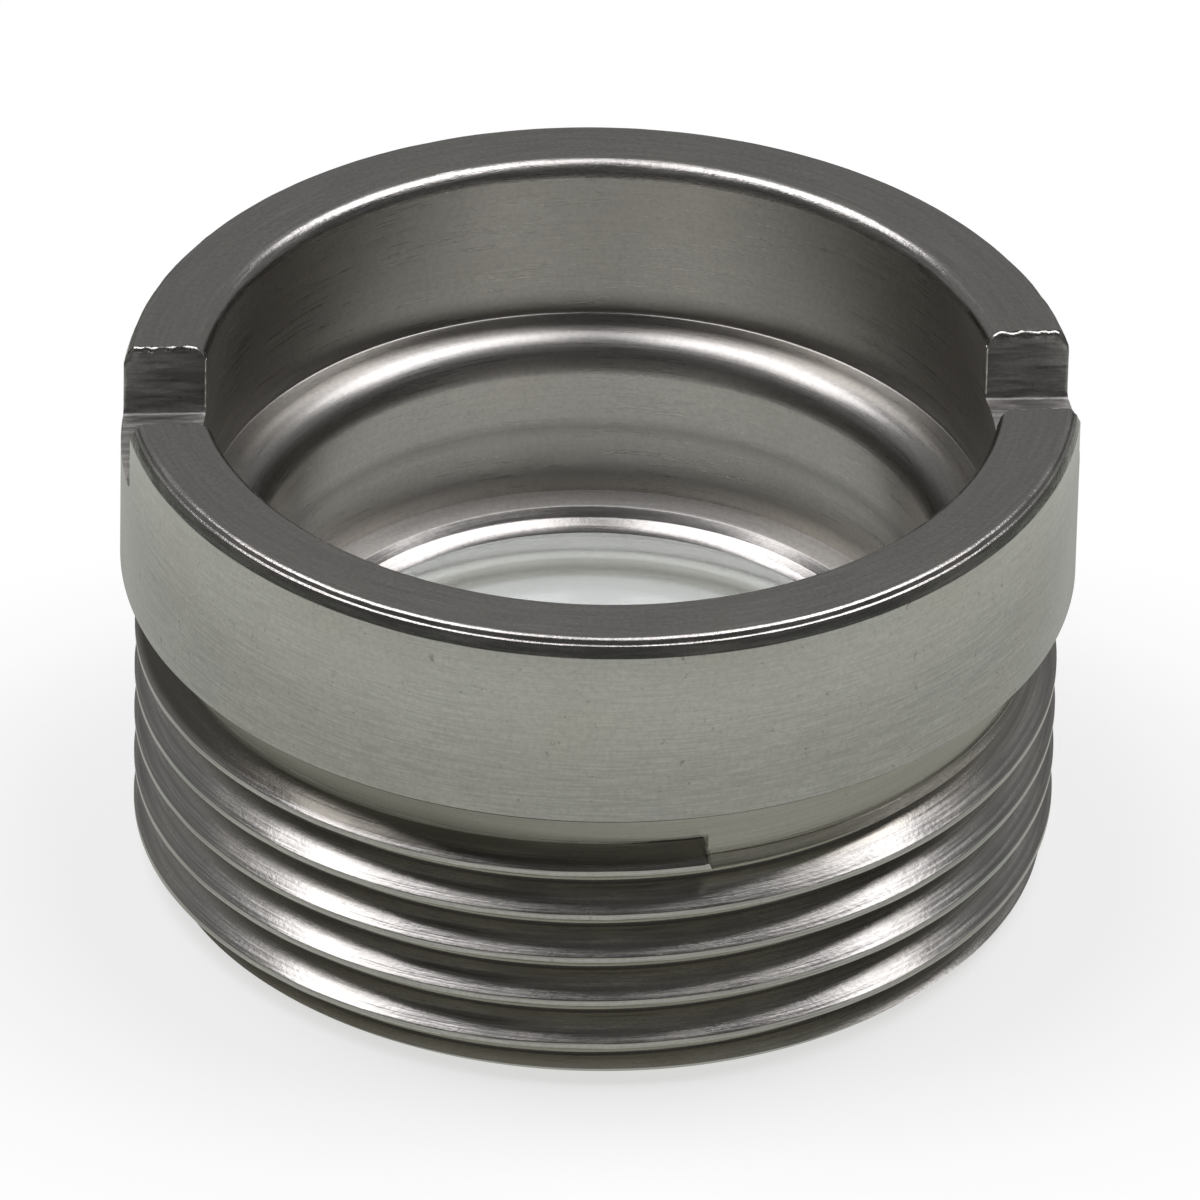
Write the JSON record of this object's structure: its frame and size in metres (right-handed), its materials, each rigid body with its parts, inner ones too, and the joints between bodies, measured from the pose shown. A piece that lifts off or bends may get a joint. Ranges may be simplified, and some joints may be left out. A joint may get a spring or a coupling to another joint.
{
  "type": "mounted aspheric lens",
  "caption": "Moulded glass aspheric lens bonded in a short turned steel cell with a fine external thread and spanner slots across its wider head.",
  "frame": {"origin": "centre of the threaded end face, on the optical axis", "axes": "+Z along the optical axis towards the slotted head; the spanner slots lie along X"},
  "size_m": [0.0092, 0.0092, 0.0052],
  "materials": {
    "stainless_steel": "fine turned, with rings left by the tool, and bright broken edges",
    "optical_glass": "moulded and polished, clear",
    "optical_adhesive": "cured resin fillet, smooth"
  },
  "bodies": {
    "root": {"lens_cell": "stainless_steel", "aspheric_lens": "optical_glass", "adhesive_bead": "optical_adhesive"}
  },
  "joints": []
}
